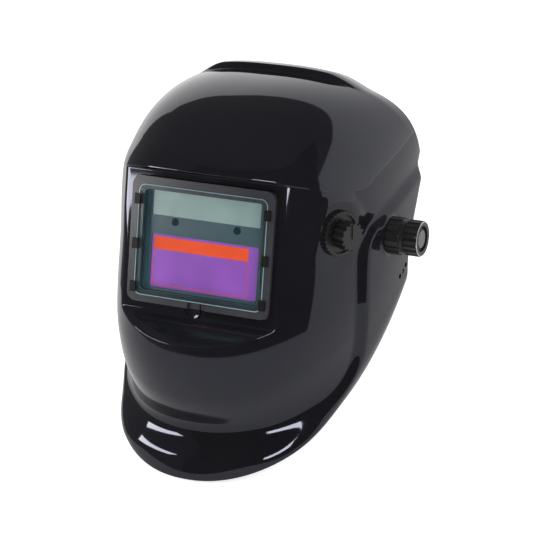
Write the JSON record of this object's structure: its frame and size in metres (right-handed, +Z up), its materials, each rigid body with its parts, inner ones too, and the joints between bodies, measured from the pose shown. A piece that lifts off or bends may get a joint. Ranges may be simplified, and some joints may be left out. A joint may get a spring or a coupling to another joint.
{
  "type": "welding helmet",
  "caption": "Flip-up auto-darkening welding helmet: glossy black shell with a recessed filter window, side shade dial, pivot knob and a ratchet headgear.",
  "frame": {"origin": "middle of the visor's pivot axis, level with the wearer's temples", "axes": "+X towards the wearer's left, -Y towards the front, +Z up"},
  "size_m": [0.2551, 0.2988, 0.293],
  "materials": {
    "shell_black": "gloss moulded nylon",
    "grey_plastic": "satin",
    "black_plastic": "satin",
    "clear_lens": "clear with a teal tint",
    "filter_glass": "coated glass",
    "film": "translucent film",
    "solar": "pale cell surface",
    "sensor": "dark lens",
    "board": "solder mask",
    "steel": "zinc plated",
    "red_plastic": "satin",
    "pot_metal": "stamped case",
    "friction": "fibre friction disc",
    "foam": "foam under a knitted cover",
    "cap_grey": "satin"
  },
  "bodies": {
    "headgear": {"headband": "black_plastic", "sweatband": "foam", "crown_strap_left": "black_plastic", "crown_strap_right": "black_plastic", "crown_pins": "black_plastic", "side_bracket_left": "black_plastic", "side_bracket_right": "black_plastic", "band_rivets": "steel", "pivot_bolt_left": "black_plastic", "pivot_bolt_right": "black_plastic", "friction_washers": "friction", "band_keepers": "black_plastic"},
    "visor": {"shell": "shell_black", "lens_frame": "grey_plastic", "lens_clips": "black_plastic", "cover_lens": "clear_lens", "frame_screws": "steel", "filter_holder": "black_plastic", "filter_housing_front": "black_plastic", "filter_housing_back": "black_plastic", "uv_ir_filter": "filter_glass", "lcd_shutter": "filter_glass", "filter_film": "film", "solar_panel": "solar", "arc_sensors": "sensor", "circuit_board": "board", "coin_cell": "steel", "inner_cover_lens": "clear_lens", "shade_base": "black_plastic", "shade_nut": "steel", "potentiometer": "pot_metal", "tilt_limiter_left": "black_plastic", "tilt_limiter_right": "black_plastic", "knob_collar": "black_plastic"},
    "tension_knob": {"tension_knob": "black_plastic", "knob_cap": "cap_grey"},
    "pivot_nut": {"pivot_nut": "black_plastic"},
    "shade_knob": {"shade_knob": "black_plastic"},
    "sensitivity_dial": {"sensitivity_dial": "black_plastic"},
    "delay_dial": {"delay_dial": "black_plastic"},
    "filter_latch_left": {"filter_latch_left": "red_plastic"},
    "filter_latch_right": {"filter_latch_right": "red_plastic"},
    "rear_band": {"rear_strap_left": "black_plastic", "rear_strap_right": "black_plastic", "ratchet_housing": "black_plastic", "ratchet_cover": "black_plastic", "cover_screws": "steel", "nape_pad": "foam"},
    "ratchet": {"ratchet_knob": "black_plastic", "pinion": "steel"}
  },
  "joints": [
    {"name": "visor_flip", "type": "hinge", "parent": "headgear", "child": "visor", "pos_m": [0, 0, 0], "axis": [-1, 0, 0], "range_deg": [0, 60]},
    {"name": "tension_turn", "type": "hinge", "parent": "headgear", "child": "tension_knob", "pos_m": [0.131, 0, 0], "axis": [1, 0, 0], "range_deg": [-180, 180]},
    {"name": "nut_turn", "type": "hinge", "parent": "headgear", "child": "pivot_nut", "pos_m": [-0.115, 0, 0], "axis": [-1, 0, 0], "range_deg": [-180, 180]},
    {"name": "shade_turn", "type": "hinge", "parent": "visor", "child": "shade_knob", "pos_m": [0.092, -0.058, 0.014], "axis": [0.9272, -0.3746, 0], "range_deg": [-135, 135]},
    {"name": "sensitivity_turn", "type": "hinge", "parent": "visor", "child": "sensitivity_dial", "pos_m": [0.024, -0.08382, 0.03175], "axis": [0, 0.9903, -0.1392], "range_deg": [-135, 135]},
    {"name": "delay_turn", "type": "hinge", "parent": "visor", "child": "delay_dial", "pos_m": [-0.024, -0.08382, 0.03175], "axis": [0, 0.9903, -0.1392], "range_deg": [-135, 135]},
    {"name": "latch_left_slide", "type": "slide", "parent": "visor", "child": "filter_latch_left", "axis": [1, 0, 0], "range_m": [0, 0.005]},
    {"name": "latch_right_slide", "type": "slide", "parent": "visor", "child": "filter_latch_right", "axis": [-1, 0, 0], "range_m": [0, 0.005]},
    {"name": "rear_slide", "type": "slide", "parent": "headgear", "child": "rear_band", "axis": [0, 0.9336, -0.3584], "range_m": [-0.0095, 0.0095]},
    {"name": "ratchet_turn", "type": "hinge", "parent": "rear_band", "child": "ratchet", "pos_m": [0, 0.1443, -0.03357], "axis": [0, 0.9336, -0.3584], "range_deg": [-95, 95]}
  ],
  "couplings": [
    {"joint": "ratchet_turn", "follows": "rear_slide", "rad_per_m": 166.67}
  ]
}
